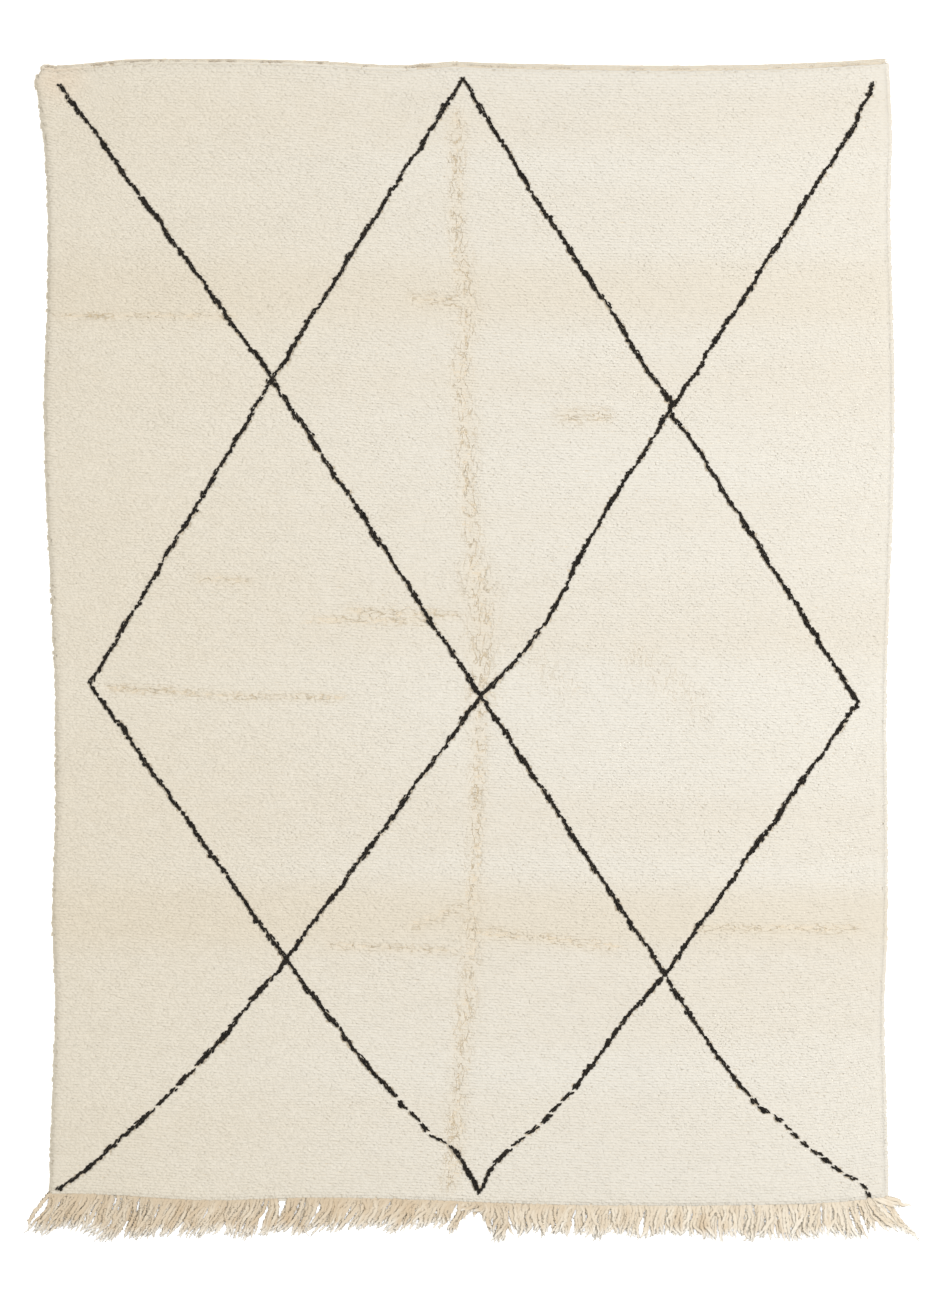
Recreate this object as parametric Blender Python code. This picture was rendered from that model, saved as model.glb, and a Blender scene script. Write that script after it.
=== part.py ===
"""Beni ourain rug: a hand-knotted wool rug that lies flat on the floor.

Metres, +Z up. X runs across the rug, +Y runs along it towards its flat-woven end, and the floor is
z = 0. The origin is on the floor under the middle of the whole rug, fringe included.

rug_body is the cloth in one piece: ground weave, knotted pile, corded sides and the flat-woven strip
at its upper end, with the troughs where it was folded for storage. warp_fringe is the comb of loose
warp ends along its lower end.
"""

import math
import random
from collections import namedtuple

import bmesh
import bpy
import numpy as np

# ---- driving dimensions -------------------------------------------------------------------------

WEAVE_THICK = 0.004  # ground weave alone, as in the strip at the upper end
STRIP_DEPTH = 0.015  # how far the flat-woven strip reaches past the pile
PILE_TOP = 0.017  # tips of the pile above the floor
PILE_FOOT = 0.007  # height of the outermost pile, where it stands on the corded edge
PILE_ROUND = 0.022  # width over which the pile rounds over to the rug's edges
PILE_STEP = 0.001  # the pile's last row stands up from the strip within this width
CELL = 0.090  # spacing of the surface's rows and columns where it is level
CREASE_CELL = 0.010  # the same, where it is creased
MIDDLE_X = 0.0
MIDDLE_Y = 0.0

GAP = 0.0003  # between the rug and its fringe
FRINGE_THICK = 0.005  # two layers of warp yarn
FRINGE_BAND = 0.012  # depth of the stretch where the warp ends still lie side by side
BUNDLES = 56
SLOT_WIDTH = 0.004  # between two bundles
SLOT_TOP = (0.35, 0.60)  # where most slots begin, as a share of the fringe's length
TIP_HALF = 0.34  # half a bundle's width near its tip, as a share of its width at the root
WIDTH_SCATTER = 0.24  # how uneven the bundles are, as a share of their mean width
TIP_SCATTER = 0.006  # how unevenly they end

# ---- the outline, a row for each place where an edge changes direction --------------------------

Side = namedtuple("Side", "y left right")
SIDES = [
    Side(1.470, -1.068, 1.036),
    Side(1.440, -1.090, 1.038),
    Side(1.375, -1.089, 1.041),
    Side(1.275, -1.074, 1.046),
    Side(1.125, -1.066, 1.041),
    Side(0.875, -1.066, 1.046),
    Side(0.650, -1.074, 1.052),
    Side(0.375, -1.069, 1.049),
    Side(0.175, -1.059, 1.042),
    Side(-0.125, -1.047, 1.032),
    Side(-0.425, -1.046, 1.034),
    Side(-0.725, -1.053, 1.034),
    Side(-0.925, -1.046, 1.026),
    Side(-1.125, -1.053, 1.031),
    Side(-1.370, -1.061, 1.037),
]

End = namedtuple("End", "x upper lower")
ENDS = [
    End(-1.064, 1.468, -1.3575),
    End(-1.030, 1.458, -1.3575),
    End(-0.940, 1.473, -1.358),
    End(-0.690, 1.480, -1.374),
    End(-0.390, 1.475, -1.367),
    End(-0.140, 1.465, -1.372),
    End(-0.065, 1.473, -1.375),
    End(0.035, 1.470, -1.380),
    End(0.285, 1.465, -1.386),
    End(0.685, 1.465, -1.386),
    End(0.910, 1.473, -1.379),
    End(1.030, 1.481, -1.366),
]

# ---- the creases left by folding, each a soft trough in the pile --------------------------------

LongFold = namedtuple("LongFold", "y x depth")
LONG_FOLD = [  # the fold down the middle, a row for each bend
    LongFold(1.350, -0.040, 0.0005),
    LongFold(1.150, -0.038, 0.0020),
    LongFold(0.850, -0.006, 0.0030),
    LongFold(0.700, -0.030, 0.0035),
    LongFold(0.475, -0.014, 0.0030),
    LongFold(0.200, 0.006, 0.0035),
    LongFold(0.075, 0.026, 0.0030),
    LongFold(-0.375, 0.011, 0.0025),
    LongFold(-0.700, 0.000, 0.0040),
    LongFold(-1.050, -0.031, 0.0040),
    LongFold(-1.360, -0.054, 0.0025),
]
LONG_FOLD_HALF = 0.028  # half its width

Crease = namedtuple("Crease", "x0 y0 x1 y1 depth")
CROSS_CREASES = [
    Crease(-1.040, 0.838, -0.600, 0.836, 0.0020),
    Crease(-0.420, 0.075, -0.060, 0.078, 0.0035),
    Crease(-0.900, -0.095, -0.300, -0.122, 0.0035),
    Crease(-0.140, -0.690, -0.020, -0.632, 0.0020),
    Crease(0.000, -0.698, 0.380, -0.745, 0.0035),
    Crease(0.560, -0.695, 0.960, -0.695, 0.0020),
    Crease(-0.390, -0.735, -0.030, -0.750, 0.0020),
]
CREASE_HALF = 0.018  # half the width of each
CREASE_FADE = 0.2  # share of its length over which each end fades out

# ---- the fringe, a row for each place where its length or lean changes --------------------------

Warp = namedtuple("Warp", "x tip lean")
WARPS = [
    Warp(-1.045, -1.440, -0.061),
    Warp(-0.980, -1.436, -0.042),
    Warp(-0.840, -1.467, -0.036),
    Warp(-0.600, -1.453, -0.030),
    Warp(-0.470, -1.462, -0.026),
    Warp(-0.270, -1.444, -0.030),
    Warp(-0.110, -1.458, -0.026),
    Warp(0.010, -1.434, -0.010),
    Warp(0.070, -1.471, -0.004),
    Warp(0.300, -1.453, -0.012),
    Warp(0.450, -1.473, -0.006),
    Warp(0.550, -1.452, -0.010),
    Warp(0.700, -1.473, 0.000),
    Warp(0.880, -1.460, 0.004),
    Warp(0.960, -1.455, 0.030),
    Warp(1.020, -1.462, 0.088),
]

Opening = namedtuple("Opening", "x width")
OPENINGS = [  # where the warp ends part right up to the rug
    Opening(-0.894, 0.012),
    Opening(-0.471, 0.018),
    Opening(-0.346, 0.010),
    Opening(-0.176, 0.008),
    Opening(0.000, 0.026),
    Opening(0.451, 0.008),
    Opening(0.524, 0.012),
    Opening(0.701, 0.014),
    Opening(0.826, 0.008),
]

# ---- reading the tables -------------------------------------------------------------------------


def smooth(table, key, column, at):
    """One column of a table at a place between its rows, on a smooth curve through all of them."""
    table = sorted(table, key=lambda row: getattr(row, key))
    places = [getattr(row, key) for row in table]
    values = [getattr(row, column) for row in table]
    slopes = np.gradient(values, places)
    at = min(max(at, places[0]), places[-1])
    i = min(int(np.searchsorted(places, at, side="right")), len(places) - 1) - 1
    span = places[i + 1] - places[i]
    t = (at - places[i]) / span
    rise = 3 * t**2 - 2 * t**3
    bend = slopes[i] * t * (1 - t) ** 2 - slopes[i + 1] * t**2 * (1 - t)
    return values[i] * (1 - rise) + values[i + 1] * rise + span * bend


def left(y):
    return smooth(SIDES, "y", "left", y)


def right(y):
    return smooth(SIDES, "y", "right", y)


def upper(x):
    return smooth(ENDS, "x", "upper", x)


def lower(x):
    return smooth(ENDS, "x", "lower", x)


# ---- where the rug's surface has its rows and columns -------------------------------------------


def stations(low, high, low_steps, high_steps, creased_stretches):
    """Rising places from low to high, close together at both edges and wherever it is creased."""
    places = [low + step for step in low_steps] + [high - step for step in high_steps]
    for i in range(math.ceil(low / CREASE_CELL), math.ceil(high / CREASE_CELL)):
        place = i * CREASE_CELL
        if any(start <= place <= end for start, end in creased_stretches):
            places.append(place)
    places.sort()
    filled = [places[0]]
    for place in places[1:]:
        steps = max(1, math.ceil((place - filled[-1]) / CELL))
        filled += list(np.linspace(filled[-1], place, steps + 1))[1:]
    return filled


ROUND_STEPS = (0, PILE_ROUND * 0.3, PILE_ROUND)
STRIP_STEPS = (0, STRIP_DEPTH, STRIP_DEPTH + PILE_STEP, STRIP_DEPTH + PILE_ROUND)


def columns():
    """Places across the rug, before its uneven sides stretch them."""
    bends = [row.x for row in LONG_FOLD]
    stretch = (min(bends) - LONG_FOLD_HALF, max(bends) + LONG_FOLD_HALF)
    return stations(left(MIDDLE_Y), right(MIDDLE_Y), ROUND_STEPS, ROUND_STEPS, [stretch])


def rows():
    """Places along the rug, before its uneven ends stretch them."""
    stretches = []
    for crease in CROSS_CREASES:
        low = min(crease.y0, crease.y1) - CREASE_HALF
        high = max(crease.y0, crease.y1) + CREASE_HALF
        stretches.append((low, high))
    return stations(lower(MIDDLE_X), upper(MIDDLE_X), ROUND_STEPS, STRIP_STEPS, stretches)


def placed(x_even, y_even):
    """Where a place on the even rectangle of rows and columns lies on the rug's uneven outline."""
    share_x = (x_even - left(MIDDLE_Y)) / (right(MIDDLE_Y) - left(MIDDLE_Y))
    share_y = (y_even - lower(MIDDLE_X)) / (upper(MIDDLE_X) - lower(MIDDLE_X))
    x = left(y_even) + (right(y_even) - left(y_even)) * share_x
    y = lower(x) + (upper(x) - lower(x)) * share_y
    return x, y


# ---- the height of the pile ---------------------------------------------------------------------


def trough(distance, half, depth):
    """How far a soft trough lowers the surface at this distance from its middle."""
    reach = min(abs(distance) / half, 1)
    return depth * (1 + math.cos(math.pi * reach)) / 2


def creased(x, y):
    """How far the creases lower the pile at a place."""
    middle = smooth(LONG_FOLD, "y", "x", y)
    down = trough(x - middle, LONG_FOLD_HALF, smooth(LONG_FOLD, "y", "depth", y))
    for crease in CROSS_CREASES:
        along = (x - crease.x0) / (crease.x1 - crease.x0)
        fade = min(max(min(along, 1 - along) / CREASE_FADE, 0), 1)
        middle = crease.y0 + (crease.y1 - crease.y0) * along
        down = max(down, trough(y - middle, CREASE_HALF, crease.depth * fade))
    return down


def rounded(inset):
    """Height of the pile this far in from an edge: a quarter round from its foot to its top."""
    share = min(inset / PILE_ROUND, 1)
    return PILE_FOOT + (PILE_TOP - PILE_FOOT) * math.sqrt(share * (2 - share))


def surface_height(x_even, y_even):
    """Height of the rug's upper surface above the floor, at a place on the even rectangle."""
    from_upper = upper(MIDDLE_X) - y_even
    if from_upper < STRIP_DEPTH + PILE_STEP / 2:
        return WEAVE_THICK
    inset = min(
        x_even - left(MIDDLE_Y),
        right(MIDDLE_Y) - x_even,
        y_even - lower(MIDDLE_X),
        from_upper - STRIP_DEPTH,
    )
    return rounded(inset) - creased(*placed(x_even, y_even))


# ---- the two pieces -----------------------------------------------------------------------------


def rug_mesh():
    """The upper surface, its rim drawn down to the floor, and one flat face underneath."""
    bm = bmesh.new()
    grid = []
    for y_even in rows():
        line = []
        for x_even in columns():
            height = surface_height(x_even, y_even)
            line.append(bm.verts.new((*placed(x_even, y_even), height)))
        grid.append(line)
    for near, far in zip(grid, grid[1:]):
        for i in range(len(near) - 1):
            bm.faces.new((near[i], near[i + 1], far[i + 1], far[i]))
    rim = [edge for edge in bm.edges if edge.is_boundary]
    drawn = bmesh.ops.extrude_edge_only(bm, edges=rim)["geom"]
    for item in drawn:
        if isinstance(item, bmesh.types.BMVert):
            item.co.z = 0
    foot = [item for item in drawn if isinstance(item, bmesh.types.BMEdge) and item.is_boundary]
    bmesh.ops.contextual_create(bm, geom=foot)
    bmesh.ops.recalc_face_normals(bm, faces=bm.faces[:])
    return bm


def fallen(x, share):
    """Where a warp end that leaves the rug at x has got to, this share of the way to its tip."""
    root = lower(x) - GAP
    y = root + (smooth(WARPS, "x", "tip", x) - root) * share
    return x + smooth(WARPS, "x", "lean", x) * share, y


def comb_outline():
    """The fringe's outline: along the rug's edge, then back along the tips of its bundles."""
    chance = random.Random(11)
    along_rug = [placed(x_even, rows()[0]) for x_even in columns()]
    points = [(x, y - GAP) for x, y in along_rug]

    first, last = points[0][0], points[-1][0]
    width = (last - first) / BUNDLES
    slots = [(first, 0, 0)]
    for i in range(1, BUNDLES):
        x = first + width * (i + chance.uniform(-WIDTH_SCATTER, WIDTH_SCATTER))
        parted = [opening for opening in OPENINGS if abs(opening.x - x) <= width / 2]
        if parted:
            band = FRINGE_BAND / (lower(x) - smooth(WARPS, "x", "tip", x))
            slots.append((x, parted[0].width, band))
        else:
            slots.append((x, SLOT_WIDTH, chance.uniform(*SLOT_TOP)))
    slots.append((last, 0, 0))

    for right_slot, left_slot in zip(slots[::-1], slots[-2::-1]):
        middle = (right_slot[0] + left_slot[0]) / 2
        bundle = right_slot[0] - left_slot[0]
        uneven = chance.uniform(-TIP_SCATTER, TIP_SCATTER)
        if right_slot[2] > 0:
            x, y = fallen(right_slot[0], right_slot[2])
            points.append((x - right_slot[1] / 2, y))
        for side, share in ((0.42, 0.72), (TIP_HALF, 0.93), (0.05, 1), (-TIP_HALF, 0.95), (-0.42, 0.70)):
            x, y = fallen(middle, share)
            points.append((x + bundle * side, y + uneven * share))
        if left_slot[2] > 0:
            x, y = fallen(left_slot[0], left_slot[2])
            points.append((x + left_slot[1] / 2, y))
    return points


def fringe_mesh():
    """The comb's outline as one flat face on the floor, extruded to the fringe's thickness."""
    bm = bmesh.new()
    outline = bm.faces.new([bm.verts.new((x, y, 0)) for x, y in comb_outline()])
    made = bmesh.ops.extrude_face_region(bm, geom=[outline])["geom"]
    for item in made:
        if isinstance(item, bmesh.types.BMVert):
            item.co.z = FRINGE_THICK
    bmesh.ops.recalc_face_normals(bm, faces=bm.faces[:])
    return bm


def material(name, colour, roughness):
    finish = bpy.data.materials.new(name)
    finish.use_nodes = True
    shader = finish.node_tree.nodes["Principled BSDF"]
    shader.inputs["Base Color"].default_value = (*colour, 1)
    shader.inputs["Roughness"].default_value = roughness
    shader.inputs["Metallic"].default_value = 0
    return finish


def piece(name, bm, finish):
    mesh = bpy.data.meshes.new(name)
    bm.to_mesh(mesh)
    bm.free()
    mesh.materials.append(finish)
    made = bpy.data.objects.new(name, mesh)
    bpy.context.scene.collection.objects.link(made)
    return made


for old in list(bpy.data.objects):
    bpy.data.objects.remove(old, do_unlink=True)

piece("rug_body", rug_mesh(), material("ivory_wool", (0.80, 0.74, 0.61), 0.95))
piece("warp_fringe", fringe_mesh(), material("undyed_warp", (0.68, 0.56, 0.41), 0.90))
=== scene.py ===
"""The finish and fine surface of a hand-knotted wool rug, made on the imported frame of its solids.

Metres, in the frame's own axes: X runs across the rug, +Y along it towards its flat-woven end.
"""

import math
from collections import namedtuple

import bpy
import numpy as np
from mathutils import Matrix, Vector
from mathutils.bvhtree import BVHTree
from mathutils.kdtree import KDTree


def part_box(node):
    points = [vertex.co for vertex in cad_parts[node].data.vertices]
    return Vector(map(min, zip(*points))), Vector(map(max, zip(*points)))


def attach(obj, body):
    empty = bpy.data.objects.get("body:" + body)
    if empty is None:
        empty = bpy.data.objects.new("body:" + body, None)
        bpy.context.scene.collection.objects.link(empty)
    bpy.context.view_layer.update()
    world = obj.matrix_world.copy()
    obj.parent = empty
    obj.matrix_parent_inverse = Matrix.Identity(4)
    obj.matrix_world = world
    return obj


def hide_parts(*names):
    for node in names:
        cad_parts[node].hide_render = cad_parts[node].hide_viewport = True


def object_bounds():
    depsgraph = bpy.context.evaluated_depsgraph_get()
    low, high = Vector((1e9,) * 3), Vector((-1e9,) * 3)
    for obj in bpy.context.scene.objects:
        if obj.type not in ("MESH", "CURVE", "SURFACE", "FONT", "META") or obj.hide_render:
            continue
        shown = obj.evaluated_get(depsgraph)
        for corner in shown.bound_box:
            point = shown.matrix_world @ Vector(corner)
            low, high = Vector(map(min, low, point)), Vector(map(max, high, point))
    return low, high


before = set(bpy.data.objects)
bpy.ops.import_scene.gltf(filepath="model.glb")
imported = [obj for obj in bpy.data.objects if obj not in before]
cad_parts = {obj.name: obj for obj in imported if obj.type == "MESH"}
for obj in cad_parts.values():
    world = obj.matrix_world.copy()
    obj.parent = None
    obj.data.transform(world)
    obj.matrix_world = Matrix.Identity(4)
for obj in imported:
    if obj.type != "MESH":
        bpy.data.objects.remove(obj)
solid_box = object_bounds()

# ---- the studio ---------------------------------------------------------------------------------
# A plain pale floor. The light is soft and comes from all round, a little more of it from the rug's
# right, and the camera hangs straight above with a long lens.

FLOOR_SIDE = 60
FLOOR_PAINT = (0.93, 0.93, 0.93, 1)
FLOOR_GLOW = 0.70  # the floor is a lit table, so that shadows on it stay faint
FLOOR_DROP = 0.0006  # below the rug's back, so that the two never share a plane
VIEW_TALL = 3.2325  # length of floor that the view takes in
VIEW_SHIFT = 0.009  # the view's middle lies this far towards the woven end
LENS = 135  # millimetres, as is the sensor
SENSOR = 36
SKY_COLOUR = (1, 0.995, 0.985, 1)
SKY_GLOW = 0.76

middle = (solid_box[0] + solid_box[1]) / 2
bpy.ops.object.select_all(action="DESELECT")
bpy.ops.object.camera_add(
    location=(middle.x, middle.y + VIEW_SHIFT, solid_box[1].z + VIEW_TALL * LENS / SENSOR),
    rotation=(0, 0, 0),
)
camera = bpy.context.object
camera.name = "camera_above"
camera.data.lens = LENS
camera.data.sensor_width = SENSOR
camera.data.clip_end = 100
bpy.context.scene.camera = camera

bpy.ops.object.select_all(action="DESELECT")
bpy.ops.mesh.primitive_plane_add(size=FLOOR_SIDE, location=(0, 0, -FLOOR_DROP))
floor = bpy.context.object
floor.name = "floor"
paint = bpy.data.materials.new("floor_paint")
paint.use_nodes = True
coat = paint.node_tree.nodes["Principled BSDF"].inputs
coat["Base Color"].default_value = FLOOR_PAINT
coat["Roughness"].default_value = 0.9
coat["Emission Color"].default_value = (1, 1, 1, 1)
coat["Emission Strength"].default_value = FLOOR_GLOW
floor.data.materials.append(paint)

Lamp = namedtuple("Lamp", "name place side power colour")
LAMPS = [
    Lamp("key_right", (7.0, 1.0, 6.0), 3.4, 560, (1.0, 1.01, 1.05)),
    Lamp("fill_left", (-6.0, -1.0, 7.5), 4.0, 150, (1.0, 0.95, 0.85)),
]
for lamp in LAMPS:
    bpy.ops.object.light_add(type="AREA", location=lamp.place)
    light = bpy.context.object
    light.name = lamp.name
    light.data.size = lamp.side
    light.data.energy = lamp.power
    light.data.color = lamp.colour
    light.rotation_euler = (-Vector(lamp.place)).to_track_quat("-Z", "Y").to_euler()
    light.visible_camera = False

world = bpy.data.worlds.new("soft_daylight")
world.use_nodes = True
sky = world.node_tree.nodes["Background"].inputs
sky["Color"].default_value = SKY_COLOUR
sky["Strength"].default_value = SKY_GLOW
bpy.context.scene.world = world
bpy.context.scene.view_settings.view_transform = "Standard"

# ---- the woven cloth ----------------------------------------------------------------------------
# The ground that every knot is tied into: undyed wool weft beaten down over the warp, 3 to 4 mm
# thick and flat on the floor. The pile's dense lower half is part of it. At the upper end its last
# 15 mm are woven flat, and the pile's last row falls a little way over them.

STRIP = 0.015  # the flat-woven stretch, partly covered by the pile's last row
STRIP_THICK = 0.0034
BED = 0.0118  # top of the pile's dense lower half
BED_FOOT = 0.0030
BED_ROUND = 0.020  # width over which it falls away at the rug's edges
INSET = 0.006  # the cloth ends this far inside the pile's own outline
GRID_X, GRID_Y = 54, 72
OVERHANG = 0.007  # the pile's last row falls this far over the fringe
CROWDING = 0.8  # how much closer the grid's lines lie at the edges
MEASURED = 160  # places along each side and each end where the solid's outline is taken
FROM_LOWER, FROM_UPPER = 0.035, 0.030  # the sides are measured this far in from the solid's ends
FROM_LEFT, FROM_RIGHT = 0.034, 0.018  # and the ends this far in from its sides
OUTSIDE = 2  # well clear of the rug
JUST_ABOVE = 0.002  # the floor
EAR, EAR_PLACE, EAR_SPREAD = 0.006, 1.432, 0.030  # how the upper left corner stands out
WOVEN_COLOURS = [(0.70, 0.60, 0.45, 1), (0.80, 0.73, 0.60, 1)]
WOVEN_SHADOW = (0.50, 0.40, 0.27, 1)
WEFT_PITCH = 0.0028
WARP_PITCH = 0.0056

rug_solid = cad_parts["rug_body"]
solid_low, solid_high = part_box("rug_body")
solid_tree = BVHTree.FromObject(rug_solid, bpy.context.evaluated_depsgraph_get())


def reaches(places, start, direction):
    """The rug's outline just above the floor: the first point met from outside at each place."""
    found = []
    for place in places:
        origin = [place if part is None else part for part in start]
        found.append(solid_tree.ray_cast(Vector(origin), Vector(direction))[0])
    return found


side_places = np.linspace(solid_low.y + FROM_LOWER, solid_high.y - FROM_UPPER, MEASURED)
end_places = np.linspace(solid_low.x + FROM_LEFT, solid_high.x - FROM_RIGHT, MEASURED)
left_hits = reaches(side_places, (-OUTSIDE, None, JUST_ABOVE), (1, 0, 0))
right_hits = reaches(side_places, (OUTSIDE, None, JUST_ABOVE), (-1, 0, 0))
lower_hits = reaches(end_places, (None, -OUTSIDE, JUST_ABOVE), (0, 1, 0))
upper_hits = reaches(end_places, (None, OUTSIDE, JUST_ABOVE), (0, -1, 0))
left_side = [hit.x for hit in left_hits]
right_side = [hit.x for hit in right_hits]
lower_end = [hit.y - OVERHANG for hit in lower_hits]
upper_end = [hit.y for hit in upper_hits]
WIDE = float(np.mean(right_side) - np.mean(left_side))
LONG = float(np.mean(upper_end) - np.mean(lower_end))
LOW = float(np.mean(lower_end))


def placed(across, along):
    """Where a knot so far across and along the even cloth lies, once its edges are drawn in."""
    even_y = LOW + along
    start = np.interp(even_y, side_places, left_side)
    start = start - EAR * np.exp(-(((even_y - EAR_PLACE) / EAR_SPREAD) ** 2))
    end = np.interp(even_y, side_places, right_side)
    x = start + (end - start) * across / WIDE
    bottom = np.interp(x, end_places, lower_end)
    top = np.interp(x, end_places, upper_end)
    return x, bottom + (top - bottom) * along / LONG


def bed_height(across, along):
    """Height of the pile's dense lower half, rounded down to the rug's edges."""
    from_side = np.minimum(across, WIDE - across)
    from_end = np.minimum(along, LONG - STRIP - along + INSET)
    share = np.clip((np.minimum(from_side, from_end) - INSET) / BED_ROUND, 0, 1)
    return BED_FOOT + (BED - BED_FOOT) * np.sqrt(share * (2 - share))


bpy.ops.object.select_all(action="DESELECT")
bpy.ops.mesh.primitive_grid_add(x_subdivisions=GRID_X, y_subdivisions=GRID_Y, size=1)
cloth = bpy.context.object
cloth.name = "rug_cloth"
bpy.ops.object.mode_set(mode="EDIT")
bpy.ops.mesh.select_all(action="SELECT")
bpy.ops.mesh.extrude_region_move(TRANSFORM_OT_translate={"value": (0, 0, 1)})
bpy.ops.mesh.select_all(action="SELECT")
bpy.ops.mesh.normals_make_consistent(inside=False)
bpy.ops.object.mode_set(mode="OBJECT")

points = np.empty(len(cloth.data.vertices) * 3)
cloth.data.vertices.foreach_get("co", points)
points = points.reshape(-1, 3)
share_x, share_y = points[:, 0] + 0.5, points[:, 1] + 0.5
share_x -= CROWDING * np.sin(2 * np.pi * share_x) / (2 * np.pi)
share_y -= CROWDING * np.sin(2 * np.pi * share_y) / (2 * np.pi)
across = INSET + share_x * (WIDE - 2 * INSET)
along = INSET + share_y * (LONG - INSET)
x, y = placed(across, along)
top = np.where(along > LONG - STRIP, STRIP_THICK, bed_height(across, along))
z = np.where(points[:, 2] > 0.5, top, 0)
cloth.data.vertices.foreach_set("co", np.stack([x, y, z], 1).ravel())
cloth.data.update()


class Value:
    """One output of a material's nodes. Sums and products written with it add their Math nodes."""

    def __init__(self, finish, socket):
        self.finish = finish
        self.socket = socket

    def __add__(self, other):
        return self.finish.math("ADD", self, other)

    def __sub__(self, other):
        return self.finish.math("SUBTRACT", self, other)

    def __rsub__(self, other):
        return self.finish.math("SUBTRACT", other, self)

    def __mul__(self, other):
        return self.finish.math("MULTIPLY", self, other)

    __radd__ = __add__
    __rmul__ = __mul__


class Finish:
    """A new material. Numbers for its Principled shader's own sockets are set as it is made."""

    def __init__(self, name, **own):
        self.material = bpy.data.materials.new(name)
        self.material.use_nodes = True
        self.tree = self.material.node_tree
        self.shader = self.tree.nodes["Principled BSDF"]
        for socket, number in own.items():
            self.shader.inputs[socket.replace("_", " ")].default_value = number

    def node(self, kind, settings=None, sockets=None, output=0):
        """Any node: its settings, then the values or links of its sockets, by name or place."""
        made = self.tree.nodes.new("ShaderNode" + kind)
        for setting, value in (settings or {}).items():
            setattr(made, setting, value)
        for socket, value in (sockets or {}).items():
            if isinstance(value, Value):
                self.tree.links.new(value.socket, made.inputs[socket])
            else:
                made.inputs[socket].default_value = value
        return Value(self, made.outputs[output])

    def math(self, operation, first, second=0.0, clamped=False):
        settings = {"operation": operation, "use_clamp": clamped}
        return self.node("Math", settings, {0: first, 1: second})

    def between(self, value, low, high):
        """0 where value is under low, 1 where it is over high, and a soft step between."""
        sockets = {"Value": value, "From Min": low, "From Max": high}
        return self.node("MapRange", {"interpolation_type": "SMOOTHSTEP"}, sockets)

    def mixed(self, share, first, second, blend="MIX"):
        """Two colours mixed: 6 and 7 are the Mix node's colour sockets, and 2 its colour output."""
        settings = {"data_type": "RGBA", "blend_type": blend}
        return self.node("Mix", settings, {0: share, 6: first, 7: second}, output=2)

    def noise(self, place, scale, stretch=(1, 1, 1), detail=2.0):
        """Soft noise about 0.5. A stretch over 1 along an axis draws it out that way."""
        squeeze = tuple(1 / part for part in stretch)
        where = self.node("Mapping", {}, {"Vector": place, "Scale": squeeze})
        return self.node("TexNoise", {}, {"Vector": where, "Scale": scale, "Detail": detail})

    def places(self):
        """Where a point of the piece lies, in metres."""
        return self.node("TexCoord", output="Object")

    def one_axis(self, place, axis):
        """How far along X, Y or Z a place lies."""
        return self.node("SeparateXYZ", {}, {"Vector": place}, output=axis)

    def mark(self, name):
        """A number stored on the piece's own points."""
        return self.node("Attribute", {"attribute_name": name}, output="Fac")

    def give(self, socket, value):
        """Link a value to one of the shader's own sockets."""
        self.tree.links.new(value.socket, self.shader.inputs[socket])

    def vector(self, operation, first, second=(0, 0, 0), output="Vector"):
        return self.node("VectorMath", {"operation": operation}, {0: first, 1: second}, output)

    def softened(self, share):
        """The surface's direction turned this far towards straight up, as in deep fibre.

        4 and 5 are the Mix node's vector sockets, and 1 is its vector output.
        """
        own = self.node("NewGeometry", output="Normal")
        sockets = {0: share, 4: own, 5: (0, 0, 1)}
        turned = self.node("Mix", {"data_type": "VECTOR"}, sockets, output=1)
        return self.vector("NORMALIZE", turned)

    def relief(self, height, depth, strength=1.0, soft=0.0):
        """Fine relief that geometry doesn't hold, this many metres deep."""
        sockets = {"Height": height, "Distance": depth, "Strength": strength}
        if soft:
            sockets["Normal"] = self.softened(soft)
        self.give("Normal", self.node("Bump", {}, sockets))


ground = Finish("ground_weave", Roughness=0.92, Sheen_Weight=0.12, Specular_IOR_Level=0.25)
where = ground.places()
over_warp = ground.math("SINE", ground.one_axis(where, "X") * (2 * math.pi / WARP_PITCH))
over_weft = ground.math("SINE", ground.one_axis(where, "Y") * (2 * math.pi / WEFT_PITCH))
woven = over_warp * over_weft * 0.5 + 0.5
fibre = ground.noise(where, 900, (6, 1, 1), 4)
soil = ground.noise(where, 9, (3, 1, 1), 4)
weft_colour = ground.mixed(soil, *WOVEN_COLOURS)
ground.give("Base Color", ground.mixed(woven * 0.45, weft_colour, WOVEN_SHADOW))
ground.give("Roughness", fibre * 0.12 + 0.84)
ground.relief(woven * 0.8 + fibre * 0.4, 0.0007)
cloth.data.materials.clear()
cloth.data.materials.append(ground.material)

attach(cloth, "root")
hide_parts("rug_body")

# ---- the ivory pile -----------------------------------------------------------------------------
# Hand-spun ivory wool, knotted row on row across the warp and cut short. Each knot's two ends open
# into one soft lock that leans towards the fringe. Where the rug was folded the locks have parted.

ROW = 0.00705  # between two rows of knots
KNOT = 0.00690  # between two knots in a row
LOCK_WIDE = 0.0124
LOCK_DEEP = 0.0104
LOCK_TALL = 0.0046  # from its foot, which stands a little way into the bed
RIDGE = 0.70  # share of its width that a lock keeps at the top, where it closes to a ridge
SUNK, PARTED_SUNK = 0.0010, 0.0020  # how deep a lock stands in the bed, and how much more if parted
LEAN = 0.0034  # of a lock's ridge, towards the fringe
PART_REACH = 0.009  # how far from a parting the locks are pushed aside
PUSH = 0.0050  # how far a wide-open parting pushes a lock's ridge over
EDGE = 0.0010  # between the outermost knots and the rug's right side
LOWEST = 0.0003  # no wool lies lower than this above the floor
BARE_LEFT, BARE_MORE = 0.0090, 0.0050  # of the strip without knots, and how much more at right
STEP_FROM, STEP_WIDE = 0.42, 0.16  # where it changes, in shares of the rug's width
PILE_BANDS = 4

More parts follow.
